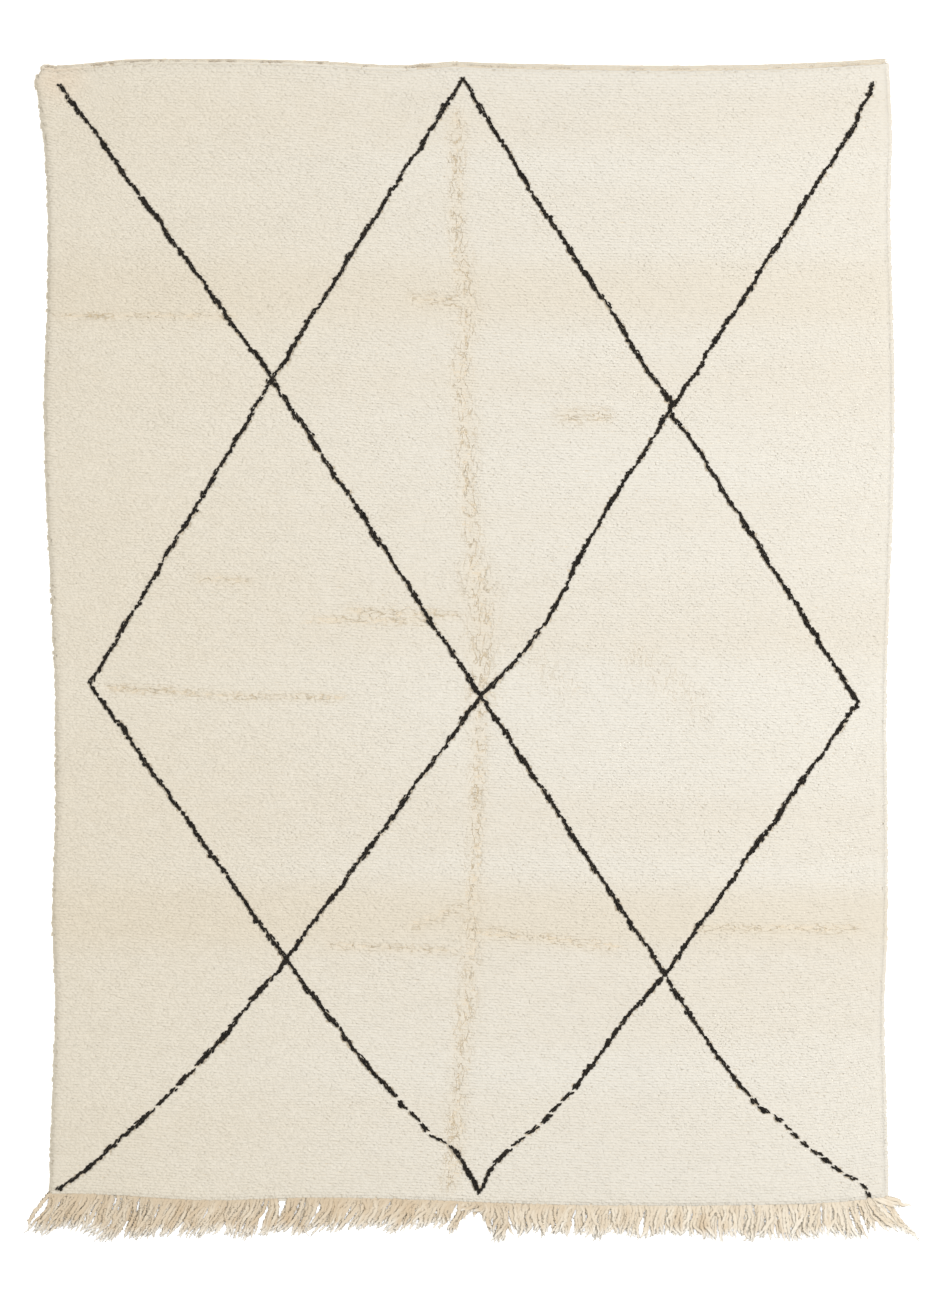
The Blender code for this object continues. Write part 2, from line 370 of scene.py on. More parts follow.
PartedLine = namedtuple("PartedLine", "x0 y0 x1 y1 spread strokes length depth", defaults=[1.0])
PARTED_LINES = [
    # the fold down the middle, from the woven end to the fringe
    PartedLine(-0.040, 1.330, -0.038, 1.050, 0.012, 26, 0.030),
    PartedLine(-0.038, 1.050, -0.006, 0.850, 0.014, 22, 0.030),
    PartedLine(-0.006, 0.850, -0.030, 0.700, 0.016, 26, 0.032),
    PartedLine(-0.030, 0.700, -0.014, 0.475, 0.018, 34, 0.030),
    PartedLine(-0.014, 0.475, 0.006, 0.200, 0.014, 30, 0.030),
    PartedLine(0.006, 0.200, 0.026, 0.075, 0.026, 30, 0.030),
    PartedLine(0.026, 0.075, 0.019, -0.125, 0.024, 16, 0.030),
    PartedLine(0.019, -0.125, 0.011, -0.375, 0.012, 22, 0.034),
    PartedLine(0.011, -0.375, 0.000, -0.700, 0.012, 44, 0.036),
    PartedLine(0.000, -0.700, -0.031, -1.050, 0.014, 60, 0.040),
    PartedLine(-0.031, -1.050, -0.054, -1.330, 0.014, 40, 0.036),
    # the folds across it
    PartedLine(-1.040, 0.838, -0.600, 0.836, 0.003, 16, 0.090),
    PartedLine(-0.140, 0.880, -0.040, 0.870, 0.010, 5, 0.050),
    PartedLine(-0.390, 0.078, -0.110, 0.074, 0.005, 20, 0.080),
    PartedLine(-0.300, 0.098, -0.040, 0.090, 0.006, 8, 0.060),
    PartedLine(-0.680, 0.180, -0.560, 0.172, 0.004, 4, 0.060),
    PartedLine(-0.900, -0.092, -0.560, -0.116, 0.005, 16, 0.080),
    PartedLine(-0.620, -0.112, -0.330, -0.118, 0.004, 14, 0.080),
    PartedLine(0.230, 0.590, 0.330, 0.585, 0.012, 6, 0.045),
    PartedLine(-0.140, -0.688, -0.030, -0.640, 0.006, 10, 0.045),
    PartedLine(0.010, -0.700, 0.350, -0.742, 0.006, 30, 0.080),
    PartedLine(0.560, -0.695, 0.960, -0.695, 0.004, 16, 0.090),
    PartedLine(-0.350, -0.738, -0.040, -0.752, 0.004, 16, 0.080),
    # loose tufting right of the middle
    PartedLine(0.090, 0.040, 0.240, -0.100, 0.030, 6, 0.030, 0.3),
    PartedLine(0.420, -0.020, 0.560, -0.140, 0.036, 9, 0.028, 0.4),
]
STROKE_STEP = 0.003
STROKE_WAVES = 260  # radians of a stroke's wave in a metre
STEEP = 0.07  # a line that rises more than this runs down the rug, and any other across it
FOLD_SPREAD, FOLD_MARGIN = 1.3, 0.006  # the painted fold shade and the grooves reach this many spreads from a fold, and so far more

DyeBand = namedtuple("DyeBand", "y half strength")
DYE_BANDS = [DyeBand(0.895, 0.13, 0.40), DyeBand(-0.665, 0.12, 0.55)]  # yellower, right across
DYE_LOTS = [(0.694, 0.642, 0.543, 1), (0.720, 0.686, 0.606, 1)]
PALE_BLOTCH = (0.745, 0.715, 0.645, 1)
PALE_LOCK = (0.76, 0.73, 0.67, 1)
# painted shade: wool darker and yellower towards the rug's left, where less of the light falls
SHADED_LEFT_WOOL = (0.688, 0.622, 0.500, 1)
BAND_WOOL = (0.675, 0.600, 0.470, 1)
# painted shade along the folds: darker, yellower wool where shade falls in the crease
FOLD_SHADE_WOOL = (0.695, 0.610, 0.470, 1)
CORNER_WOOL = (0.72, 0.585, 0.435, 1)
YELLOWED_CORNER = (-1.035, 1.440, 0)  # the middle of the stain
# partly the wool's own tan roots, partly painted shade deep in the pile and in the partings
DEEP_WOOL_AND_SHADE = (0.670, 0.612, 0.505, 1)
OPENED_WOOL_AND_SHADE = (0.50, 0.39, 0.24, 1)
GROOVE_WOOL_AND_SHADE = (0.50, 0.385, 0.225, 1)  # tan roots and painted shade in the finest partings, which only the material holds


def drift(across, along, size_x, size_y, seed):
    """Soft unevenness between -1 and 1, in patches of about this size."""
    columns = int(WIDE / size_x) + 3
    lines = int(LONG / size_y) + 3
    marks = np.random.default_rng(seed).uniform(-1, 1, (lines, columns))
    u, v = across / size_x + 0.5, along / size_y + 0.5
    i, j = np.floor(u).astype(int), np.floor(v).astype(int)
    s, t = u - i, v - j
    s, t = s * s * (3 - 2 * s), t * t * (3 - 2 * t)
    near = marks[j, i] * (1 - s) + marks[j, i + 1] * s
    far = marks[j + 1, i] * (1 - s) + marks[j + 1, i + 1] * s
    return near * (1 - t) + far * t


def near_lines(x, y, lines):
    """Each line's own depth on it, falling to 0 to either side."""
    found = np.zeros(len(x))
    for line in lines:
        run_x, run_y = line.x1 - line.x0, line.y1 - line.y0
        share = ((x - line.x0) * run_x + (y - line.y0) * run_y) / (run_x**2 + run_y**2)
        share = np.clip(share, 0, 1)
        apart = np.hypot(x - line.x0 - share * run_x, y - line.y0 - share * run_y)
        reach = line.spread * FOLD_SPREAD + FOLD_MARGIN
        found = np.maximum(found, line.depth * np.exp(-((apart / reach) ** 2)))
    return found


def parting_points():
    """Points along every parting, a row each: x, y and how wide it has opened."""
    chance = np.random.default_rng(5)
    found = []
    for line in PARTED_LINES:
        run = np.array([line.x1 - line.x0, line.y1 - line.y0])
        reach = np.hypot(*run)
        heading = math.atan2(run[1], run[0])
        for _ in range(line.strokes):
            share = chance.uniform(0, 1)
            aside = chance.normal(0, line.spread * 0.6)
            start = np.array([line.x0, line.y0]) + run * share
            start += aside * np.array([-run[1], run[0]]) / reach
            turn = heading + chance.normal(0, 0.02 + line.spread * 18)
            steps = max(3, int(line.length * chance.uniform(0.5, 1.5) / STROKE_STEP))
            wave = chance.uniform(0.0008, 0.0026)
            phase = chance.uniform(0, 6.3)
            opened = line.depth * chance.uniform(0.35, 1.0)
            for k in range(steps):
                went = (k - steps / 2) * STROKE_STEP
                sway = wave * math.sin(phase + went * STROKE_WAVES)
                taper = math.sin(math.pi * (k + 0.5) / steps)
                x = start[0] + went * math.cos(turn) - sway * math.sin(turn)
                y = start[1] + went * math.sin(turn) + sway * math.cos(turn)
                found.append((x, y, opened * taper))
    return found


bpy.ops.object.select_all(action="DESELECT")
bpy.ops.mesh.primitive_cube_add(size=1, location=(0, 0, 0.5))
lock = bpy.context.object
bpy.ops.object.transform_apply(location=True)
bpy.ops.object.mode_set(mode="EDIT")
bpy.ops.mesh.select_all(action="DESELECT")
bpy.ops.object.mode_set(mode="OBJECT")
for face in lock.data.polygons:
    face.select = face.normal.z > 0.5
bpy.ops.object.mode_set(mode="EDIT")
bpy.ops.transform.resize(value=(RIDGE, 0, 1))
bpy.ops.mesh.select_all(action="SELECT")
bpy.ops.mesh.remove_doubles(threshold=0.001)
bpy.ops.mesh.select_all(action="DESELECT")
bpy.ops.object.mode_set(mode="OBJECT")
for face in lock.data.polygons:
    face.select = face.normal.z < -0.5
bpy.ops.object.mode_set(mode="EDIT")
bpy.ops.mesh.delete(type="ONLY_FACE")
bpy.ops.object.mode_set(mode="OBJECT")


def corners_of(one):
    """The vertices of one small mesh, a row each."""
    return np.array([vertex.co for vertex in one.data.vertices])


def copies(name, one, points, finish, **marks):
    """One piece made of many copies of a small mesh. points holds each copy's own vertices."""
    count, size = points.shape[:2]
    turn = np.array([loop.vertex_index for loop in one.data.loops])
    starts = np.array([face.loop_start for face in one.data.polygons])
    number = np.arange(count)[:, None]
    mesh = bpy.data.meshes.new(name)
    mesh.vertices.add(count * size)
    mesh.vertices.foreach_set("co", points.astype(np.float32).ravel())
    mesh.loops.add(count * len(turn))
    mesh.loops.foreach_set("vertex_index", (turn + number * size).astype(np.int32).ravel())
    mesh.polygons.add(count * len(starts))
    mesh.polygons.foreach_set("loop_start", (starts + number * len(turn)).astype(np.int32).ravel())
    mesh.polygons.foreach_set("use_smooth", np.ones(count * len(starts), bool))
    for mark, values in marks.items():
        stored = mesh.attributes.new(mark, "FLOAT", "POINT")
        spread = np.broadcast_to(values, (count, size)).astype(np.float32)
        stored.data.foreach_set("value", spread.ravel())
    mesh.update(calc_edges=True)
    mesh.materials.append(finish.material)
    made = bpy.data.objects.new(name, mesh)
    bpy.context.scene.collection.objects.link(made)
    return made


def stood(shape, root, up, size, turn, lean):
    """Each copy's vertices: the small shape sized, turned, leant over and stood on its root."""
    x = shape[:, 0] * size[0][:, None]
    y = shape[:, 1] * size[1][:, None]
    z = shape[:, 2] * size[2][:, None]
    cos, sin = np.cos(turn)[:, None], np.sin(turn)[:, None]
    x, y = x * cos - y * sin, x * sin + y * cos
    x = x + lean[0][:, None] * shape[:, 2]
    y = y + lean[1][:, None] * shape[:, 2]
    ux, uy, uz = (part[:, None] for part in up)
    tilt = (x * ux + y * uy) / (1 + uz)
    px = x - tilt * ux + z * ux
    py = y - tilt * uy + z * uy
    pz = z * uz - (x * ux + y * uy)
    return np.stack([px + root[0][:, None], py + root[1][:, None], pz + root[2][:, None]], 2)


def last_row(across):
    """How far along the last knots lie: further over the woven end on the rug's left half."""
    share = np.clip((across / WIDE - STEP_FROM) / STEP_WIDE, 0, 1)
    uneven = 0.0015 * drift(across, across * 0, 0.06, 1, 34)
    return LONG - BARE_LEFT - BARE_MORE * share + uneven


def facing(across, along):
    """Which way the locks stand: straight up, but outwards where the pile rounds over an edge."""
    step = 0.001
    slope_x = (bed_height(across + step, along) - bed_height(across - step, along)) / (2 * step)
    slope_y = (bed_height(across, along + step) - bed_height(across, along - step)) / (2 * step)
    size = np.sqrt(slope_x**2 + slope_y**2 + 1)
    return -slope_x / size, -slope_y / size, 1 / size


chance = np.random.default_rng(21)
row_places = np.arange(0.0025, LONG, ROW)
knot_places = np.arange(INSET, WIDE - EDGE, KNOT)
across, along = np.meshgrid(knot_places, row_places)
across = across + chance.uniform(-0.5, 0.5, len(row_places))[:, None] * KNOT
across[:, 0], across[:, -1] = INSET, WIDE - 1.5 * EDGE
across, along = across.ravel(), along.ravel()
across = np.clip(across + chance.normal(0, 0.0008, len(across)), INSET - EDGE, WIDE - EDGE)
along = np.maximum(along + chance.normal(0, 0.0006, len(along)), 0)
kept = along < last_row(across)
across, along = across[kept], along[kept]
x, y = placed(across, along)

partings = parting_points()
near_parting = KDTree(len(partings))
for i, (px, py, opened) in enumerate(partings):
    near_parting.insert((px, py, 0), i)
near_parting.balance()
parted = np.zeros(len(x))
push_x = np.zeros(len(x))
push_y = np.zeros(len(x))
for i, place in enumerate(zip(x, y)):
    spot, found, gap = near_parting.find((*place, 0))
    if gap < PART_REACH:
        parted[i] = partings[found][2] * (1 - gap / PART_REACH)
        push_x[i] = (place[0] - spot.x) / (gap + 0.0005)
        push_y[i] = (place[1] - spot.y) / (gap + 0.0005)

fold_down = near_lines(x, y, [line for line in PARTED_LINES if abs(line.y1 - line.y0) > STEEP])
fold_over = near_lines(x, y, [line for line in PARTED_LINES if abs(line.y1 - line.y0) <= STEEP])
streak = drift(across, along, 0.026, 0.0072, 31)
patch = drift(across, along, 0.045, 0.030, 32)
lie = drift(across, along, 0.110, 0.080, 33)
count = len(x)
tall = LOCK_TALL * (1 + 0.05 * streak + 0.04 * patch - 0.55 * parted)
size = (
    LOCK_WIDE * chance.uniform(0.80, 1.25, count),
    LOCK_DEEP * chance.uniform(0.85, 1.20, count),
    tall + chance.normal(0, 0.00012, count),
)
lean = (
    0.0010 * lie + chance.normal(0, 0.0006, count) + push_x * parted * PUSH,
    -LEAN * (1 + 0.30 * lie) + chance.normal(0, 0.0006, count) + push_y * parted * PUSH,
)
root = (x, y, bed_height(across, along) - SUNK - PARTED_SUNK * parted)
turn = chance.normal(0, 0.10, count)
lock_points = stood(corners_of(lock), root, facing(across, along), size, turn, lean)
lock_points[:, :, 2] = np.maximum(lock_points[:, :, 2], LOWEST)
lock_rise = corners_of(lock)[:, 2]
lot = np.clip(0.5 + 0.22 * streak + chance.normal(0, 0.16, count), 0, 1)

ivory = Finish("ivory_wool", Roughness=0.95, Sheen_Weight=0.15, Specular_IOR_Level=0.2)
where = ivory.places()
rise = ivory.mark("rise")
shade = ivory.mark("lot")
opening = ivory.mark("parted")
dye_lot = ivory.noise(where, 3.2, (14, 1, 1), 3)
mottle = ivory.noise(where, 38, (1.6, 1, 1), 3)
fibre = ivory.noise(where, 1500, (1, 1, 4), 3)
wander_down = ivory.noise(where, 62, (1, 2.4, 1), 2)
wander_over = ivory.noise(where, 80, (3.0, 1, 1), 2)
broken = ivory.between(ivory.noise(where, 45), 0.36, 0.56)
tip = ivory.mixed(ivory.between(dye_lot, 0.30, 0.70), *DYE_LOTS)
sideways = ivory.one_axis(where, "X")
lengthways = ivory.one_axis(where, "Y")
to_right = ivory.between(sideways, -1.1, 0.6)
blotched = ivory.between(mottle, 0.35, 0.75) * (0.50 - to_right * 0.32)
tip = ivory.mixed(blotched, tip, PALE_BLOTCH)
tip = ivory.mixed(shade * 0.10, tip, PALE_LOCK)
# painted shade: the wool is mixed darker and yellower towards the rug's left side
tip = ivory.mixed((1 - ivory.between(sideways, -1.1, 0.3)) * 0.6, tip, SHADED_LEFT_WOOL)
for band in DYE_BANDS:
    away = ivory.math("ABSOLUTE", lengthways - band.y)
    dyed = (1 - ivory.between(away, band.half * 0.2, band.half)) * band.strength
    tip = ivory.mixed(dyed, tip, BAND_WOOL)
folded = ivory.math("MAXIMUM", ivory.mark("fold_down"), ivory.mark("fold_over"))
# painted shade: wool near the folds mixed darker and yellower, as shade in the crease
tip = ivory.mixed(folded * 0.35, tip, FOLD_SHADE_WOOL)
from_corner = ivory.vector("DISTANCE", where, YELLOWED_CORNER, output="Value")
tip = ivory.mixed((1 - ivory.between(from_corner, 0.02, 0.10)) * 0.45, tip, CORNER_WOOL)
# partly painted shade: the locks' lower parts darker and tanner, more so where the pile has parted
low = ivory.mixed(opening * 0.8, DEEP_WOOL_AND_SHADE, OPENED_WOOL_AND_SHADE)
wool = ivory.mixed(ivory.between(rise - opening * 0.3, 0.0, 0.70), low, tip)
line_down = 1 - ivory.between(ivory.math("ABSOLUTE", wander_down - 0.5), 0.0, 0.045)
line_over = 1 - ivory.between(ivory.math("ABSOLUTE", wander_over - 0.5), 0.0, 0.045)
groove = (line_down * ivory.mark("fold_down") + line_over * ivory.mark("fold_over")) * broken
# partly painted shade: dark tan lines stand in for the shade down in the finest partings, where the
# roots show
groove_tint_and_shade = ivory.math("MULTIPLY", groove, 0.75, clamped=True)
ivory.give("Base Color", ivory.mixed(groove_tint_and_shade, wool, GROOVE_WOOL_AND_SHADE))
ivory.give("Roughness", fibre * 0.15 + 0.82)
ivory.relief(fibre * 0.12 - groove, 0.0014, 0.7, soft=to_right * 0.42 + 0.42)

# ---- the dark lattice ---------------------------------------------------------------------------
# Natural near-black wool, knotted in with the ivory one row at a time. Two or three yarn ends side
# by side make a line, and each row steps sideways, so the diamonds' edges come out ragged, with a
# knot missed here and there.

DARK_TALL = 0.0056
DARK_WIDE = 0.0055  # one yarn end
DARK_PITCH = 0.0040  # between the ends side by side in a row
DARK_SUNK = 0.001  # how deep a yarn end stands in the bed
DARK_BACK = 0.002  # how far behind its row it is rooted, as it leans forward
DARK_COLOURS = [(0.0085, 0.0070, 0.0050, 1), (0.026, 0.020, 0.014, 1)]
FLECK_COLOUR = (0.085, 0.066, 0.048, 1)

Stroke = namedtuple("Stroke", "broken_from broken_to run bends")
Bend = namedtuple("Bend", "x y")
LATTICE = {
    "from_left_corner": Stroke(-1.10, -1.40, 2, [
        Bend(-1.031, 1.412), Bend(-0.504, 0.683), Bend(0.019, -0.114), Bend(0.481, -0.812),
        Bend(0.569, -0.955), Bend(0.702, -1.131), Bend(0.768, -1.175), Bend(0.847, -1.248),
        Bend(0.906, -1.297), Bend(0.963, -1.329), Bend(0.984, -1.348), Bend(1.001, -1.377),
    ]),
    "from_middle_to_left": Stroke(-1.10, -1.24, 3, [
        Bend(-0.024, 1.428), Bend(-0.504, 0.672), Bend(-0.956, -0.085), Bend(-0.466, -0.775),
        Bend(-0.314, -0.975), Bend(-0.181, -1.134), Bend(-0.100, -1.214), Bend(-0.058, -1.237),
        Bend(-0.030, -1.270), Bend(0.015, -1.358),
    ]),
    "from_middle_to_right": Stroke(-1.08, -1.26, 3, [
        Bend(-0.024, 1.428), Bend(0.189, 1.080), Bend(0.364, 0.823), Bend(0.438, 0.695),
        Bend(0.497, 0.618), Bend(0.503, 0.580), Bend(0.543, 0.532), Bend(0.964, -0.132),
        Bend(0.481, -0.812), Bend(0.369, -0.942), Bend(0.250, -1.105), Bend(0.176, -1.179),
        Bend(0.096, -1.246), Bend(0.047, -1.298), Bend(0.015, -1.358),
    ]),
    "from_right_corner": Stroke(-1.00, -1.16, 6, [
        Bend(1.001, 1.416), Bend(0.956, 1.312), Bend(0.501, 0.607), Bend(0.319, 0.325),
        Bend(0.181, 0.062), Bend(0.131, 0.000), Bend(0.019, -0.121), Bend(-0.466, -0.775),
        Bend(-0.606, -0.945), Bend(-0.731, -1.088), Bend(-0.856, -1.200), Bend(-0.964, -1.300),
        Bend(-1.041, -1.349),
    ]),
}


def dark_knots():
    """Every dark yarn end, row by row: its place, size and the way it lies along its line."""
    ends, taken = [], []
    for number, stroke in enumerate(LATTICE.values()):
        luck = np.random.default_rng(60 + number)
        ys = np.array([bend.y for bend in stroke.bends][::-1])
        xs = np.array([bend.x for bend in stroke.bends][::-1])
        sway = luck.uniform(0, 6.3, 2)
        stray, side_by_side, run = 0.0, 2, 20  # run counts the rows left before a knot is missed
        for y in np.arange(ys[-1], ys[0], -ROW):
            x = np.interp(y, ys, xs)
            x += 0.0018 * math.sin(y * 34 + sway[0]) + 0.0012 * math.sin(y * 83 + sway[1])
            slope = (np.interp(y + ROW, ys, xs) - np.interp(y - ROW, ys, xs)) / (2 * ROW)
            stray = 0.35 * stray + luck.normal(0, 0.0013)
            if luck.uniform() < 0.5:
                side_by_side = luck.choice([2, 2, 2, 3])
            if stroke.broken_to < y < stroke.broken_from:
                run = min(run, stroke.run + 1) - 1
                if run <= 0:
                    run = stroke.run + luck.integers(1, 3)
                    continue
            heading = math.atan(slope)
            reach = ROW / math.cos(heading)
            pitch = DARK_PITCH / max(math.cos(heading), 0.65)
            middle = x + stray
            spread = side_by_side + (luck.uniform() < 0.12) - (luck.uniform() < 0.08)
            taken.append((middle, y, spread * pitch / 2 + 0.0015 + abs(slope) * 0.0015))
            for k in range(spread):
                aside = (k - (spread - 1) / 2) * pitch * luck.uniform(0.8, 1.2)
                width = DARK_WIDE * luck.uniform(0.8, 1.2)
                length = reach * luck.uniform(1.15, 1.60)
                ends.append((middle + aside, y, width, length, heading))
    return np.array(ends), taken


def straight_up(count):
    """The same upward direction for every copy."""
    return np.zeros(count), np.zeros(count), np.ones(count)


ends, taken = dark_knots()
hidden = np.zeros(count, bool)
for dark_x, dark_y, half in taken:
    hidden |= (np.abs(y - dark_y) < ROW * 0.5) & (np.abs(x - dark_x) < half)
lock_points, lot, parted = lock_points[~hidden], lot[~hidden], parted[~hidden]
fold_down, fold_over = fold_down[~hidden], fold_over[~hidden]

for band, rows_of_locks in enumerate(np.array_split(np.arange(len(lot)), PILE_BANDS)):
    piece = copies(
        f"ivory_pile_{band + 1}",
        lock,
        lock_points[rows_of_locks],
        ivory,
        rise=lock_rise,
        lot=lot[rows_of_locks, None],
        parted=parted[rows_of_locks, None],
        fold_down=fold_down[rows_of_locks, None],
        fold_over=fold_over[rows_of_locks, None],
    )
    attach(piece, "root")
bpy.data.objects.remove(lock)

bpy.ops.object.select_all(action="DESELECT")
bpy.ops.mesh.primitive_cone_add(
    vertices=6, radius1=0.5, radius2=0.40, depth=1, location=(0, 0, 0.5)
)
yarn_end = bpy.context.object
bpy.ops.object.transform_apply(location=True)

luck = np.random.default_rng(70)
count = len(ends)
knot_x, knot_y, wide, deep, heading = ends.T
size = (wide, deep, DARK_TALL * luck.uniform(0.88, 1.10, count))
lean = (luck.normal(0, 0.0010, count), -LEAN * 0.6 + luck.normal(0, 0.0010, count))
rooted_y = knot_y + DARK_BACK + luck.normal(0, 0.0008, count)
root = (knot_x, rooted_y, np.full(count, BED - DARK_SUNK))
turn = -heading + luck.normal(0, 0.16, count)
end_points = stood(corners_of(yarn_end), root, straight_up(count), size, turn, lean)

dark = Finish("dark_wool", Roughness=0.92, Sheen_Weight=0.08, Specular_IOR_Level=0.2)
where = dark.places()
fibre = dark.noise(where, 1500, (1, 1, 4), 3)
fleck = dark.between(dark.noise(where, 220), 0.62, 0.78)
colour = dark.mixed(dark.mark("lot"), *DARK_COLOURS)
dark.give("Base Color", dark.mixed(fleck * 0.5, colour, FLECK_COLOUR))
dark.give("Roughness", fibre * 0.15 + 0.80)
dark.relief(fibre, 0.0005, 0.7)
lattice = copies("dark_lattice", yarn_end, end_points, dark, lot=luck.uniform(0, 1, (count, 1)))
bpy.data.objects.remove(yarn_end)
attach(lattice, "root")

# ---- the flat-woven end -------------------------------------------------------------------------
# Past the last knots, which stop 9 mm short of the cloth's end at left and 14 mm at right, the weft
# alone is beaten down. Each pass of it over a warp is one small tight stitch. Next to the pile the
# stitches are darker and brown, partly painted shadow of the pile's edge, and the pile's locks
# cover about 5 mm of them.

STITCH_WIDE = 0.0066
STITCH_DEEP = 0.0037
STITCH_TALL = 0.0030
STITCH_PITCH = STITCH_WIDE * 0.86  # less than a stitch's width, since each overlaps the next
STITCH_EDGE = 0.003  # between the last stitch and the rug's right side
BROWN_DEEP = 0.0045  # depth of the brown line along the pile's foot, partly painted shadow of the pile's edge
WEFT_COLOUR = (0.70, 0.65, 0.55, 1)
BROWN_WEFT_AND_SHADOW = (0.33, 0.26, 0.185, 1)
PALE_FIBRE = (0.74, 0.69, 0.60, 1)

bpy.ops.object.select_all(action="DESELECT")
bpy.ops.mesh.primitive_ico_sphere_add(subdivisions=1, radius=0.5)
stitch = bpy.context.object

luck = np.random.default_rng(80)
stitch_rows = np.arange(LONG - STRIP + STITCH_DEEP, LONG, STITCH_DEEP * 0.9)
stitch_places = np.arange(INSET, WIDE - STITCH_EDGE, STITCH_PITCH)
across, along = np.meshgrid(stitch_places, stitch_rows)
across = across + (np.arange(len(stitch_rows)) % 2)[:, None] * STITCH_PITCH / 2
across, along = across.ravel(), along.ravel()
count = len(across)
wander = 0.0014 * drift(across, along * 0, 0.030, 1, 81) + luck.normal(0, 0.0005, count)
x, y = placed(across + luck.normal(0, 0.0006, count), along + wander)
size = (
    STITCH_WIDE * luck.uniform(0.9, 1.15, count),
    STITCH_DEEP * luck.uniform(0.9, 1.15, count),
    STITCH_TALL * luck.uniform(0.8, 1.2, count),
)
root = (x, y, np.full(count, STRIP_THICK))
turn = luck.normal(0, 0.12, count)
no_lean = (np.zeros(count), np.zeros(count))
stitch_points = stood(corners_of(stitch), root, straight_up(count), size, turn, no_lean)
past_pile = (along - last_row(across)) / BROWN_DEEP
dashes = drift(across, along * 0, 0.060, 1, 82) + 1.3 * drift(across, along * 0, 0.014, 1, 83)
# partly painted shadow: stitches darker and brown just past the pile's last row, in broken dashes
browner = np.clip(1.3 - np.abs(past_pile - 0.3), 0, 1) * np.clip(0.55 + 1.6 * dashes, 0, 1)

end_weft = Finish("end_weft", Roughness=0.93, Sheen_Weight=0.1, Specular_IOR_Level=0.2)
where = end_weft.places()
fibre = end_weft.noise(where, 1200, (5, 1, 1), 3)
colour = end_weft.mixed(end_weft.mark("browner"), WEFT_COLOUR, BROWN_WEFT_AND_SHADOW)
end_weft.give("Base Color", end_weft.mixed(fibre * 0.3, colour, PALE_FIBRE))
end_weft.give("Roughness", fibre * 0.15 + 0.82)
end_weft.relief(fibre, 0.0005, 0.8)
end_stitches = copies("end_stitches", stitch, stitch_points, end_weft, browner=browner[:, None])
bpy.data.objects.remove(stitch)
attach(end_stitches, "root")

# ---- the warp fringe ----------------------------------------------------------------------------
# The warp's own ends, cut off the loom and left loose: undyed yarn plied from two strands, lying on
# the floor in loose bundles that lean and splay, their tips untwisting.

YARN = 0.0056  # half the width of one warp end, which lies flattened
FLATTENED = 0.32
LAYER_PITCHES = (0.0064, 0.0115, 0.0150)  # between warp ends, from the floor up
RINGS = 15
TWIST = 0.024  # length of one turn of the ply
LIFT = 0.0072  # height at which the ends come out of the cloth
FALL = 0.016  # length over which they come down to the floor
LOWEST_YARN = 0.0002  # above the floor
TUCKED = 0.0060  # how far inside the cloth's edge they start
END_CLEAR = 0.004  # between the rug's sides and the outermost ends
BUNDLE = 0.030  # width in which neighbouring ends tend to lie together
LONGEST_TIP = -1.481
UNTWIST_FROM, UNTWIST_THIN = 0.65, 0.75  # where a tip starts to thin, and how much it does so
BESIDE = 0.018  # ends this near an opening bend towards it
CORNER_TIP, CORNER_LEAN = -1.394, 0.064  # the uppermost ends at the right corner splay right out
CORNER_WIDE = 0.040
DARKER_YARN = [(0.595, 0.485, 0.345, 1), (0.700, 0.605, 0.465, 1)]  # at left, and at right
PALER_YARN = [(0.70, 0.615, 0.485, 1), (0.765, 0.695, 0.575, 1)]
SOILED_YARN = (0.575, 0.435, 0.280, 1)
TIP_COLOUR = (0.88, 0.845, 0.765, 1)

Warp = namedtuple("Warp", "x tip lean")
WARPS = [
    Warp(-1.045, -1.450, -0.054),
    Warp(-0.980, -1.440, -0.055),
    Warp(-0.840, -1.467, -0.046),
    Warp(-0.600, -1.455, -0.042),
    Warp(-0.470, -1.458, -0.040),
    Warp(-0.270, -1.444, -0.038),
    Warp(-0.110, -1.441, -0.034),
    Warp(-0.050, -1.437, -0.030),
    Warp(-0.040, -1.458, -0.026),
    Warp(-0.020, -1.462, -0.024),
    Warp(-0.012, -1.405, -0.010),
    Warp(0.000, -1.400, -0.002),
    Warp(0.015, -1.415, 0.006),
    Warp(0.035, -1.432, 0.012),
    Warp(0.045, -1.470, 0.014),
    Warp(0.070, -1.474, 0.006),
    Warp(0.100, -1.458, -0.004),
    Warp(0.160, -1.456, -0.010),
    Warp(0.290, -1.460, -0.012),
    Warp(0.325, -1.485, -0.012),
    Warp(0.360, -1.460, -0.010),
    Warp(0.550, -1.455, -0.010),
    Warp(0.620, -1.476, -0.004),
    Warp(0.700, -1.472, 0.000),
    Warp(0.880, -1.460, 0.004),
    Warp(0.960, -1.452, 0.026),
    Warp(1.000, -1.450, 0.060),
    Warp(1.024, -1.462, 0.094),
]
Opening = namedtuple("Opening", "x width")
OPENINGS = [
    Opening(-0.894, 0.016),
    Opening(-0.475, 0.036),
    Opening(-0.346, 0.010),
    Opening(-0.176, 0.008),
    Opening(0.451, 0.008),
    Opening(0.524, 0.012),
    Opening(0.701, 0.014),
    Opening(0.826, 0.008),
]

bpy.ops.object.select_all(action="DESELECT")
bpy.ops.mesh.primitive_cylinder_add(vertices=5, radius=1, depth=1, location=(0, 0, 0.5))
strand = bpy.context.object
bpy.ops.object.transform_apply(location=True)
bpy.ops.object.mode_set(mode="EDIT")
bpy.ops.mesh.select_mode(type="EDGE")
bpy.ops.mesh.select_all(action="DESELECT")
bpy.ops.object.mode_set(mode="OBJECT")
for edge in strand.data.edges:
    low_end, high_end = (strand.data.vertices[i].co for i in edge.vertices)
    edge.select = abs(high_end.z - low_end.z) > 0.5
bpy.ops.object.mode_set(mode="EDIT")
bpy.ops.mesh.subdivide(number_cuts=RINGS)
bpy.ops.mesh.select_mode(type="VERT")
bpy.ops.object.mode_set(mode="OBJECT")
section = corners_of(strand)

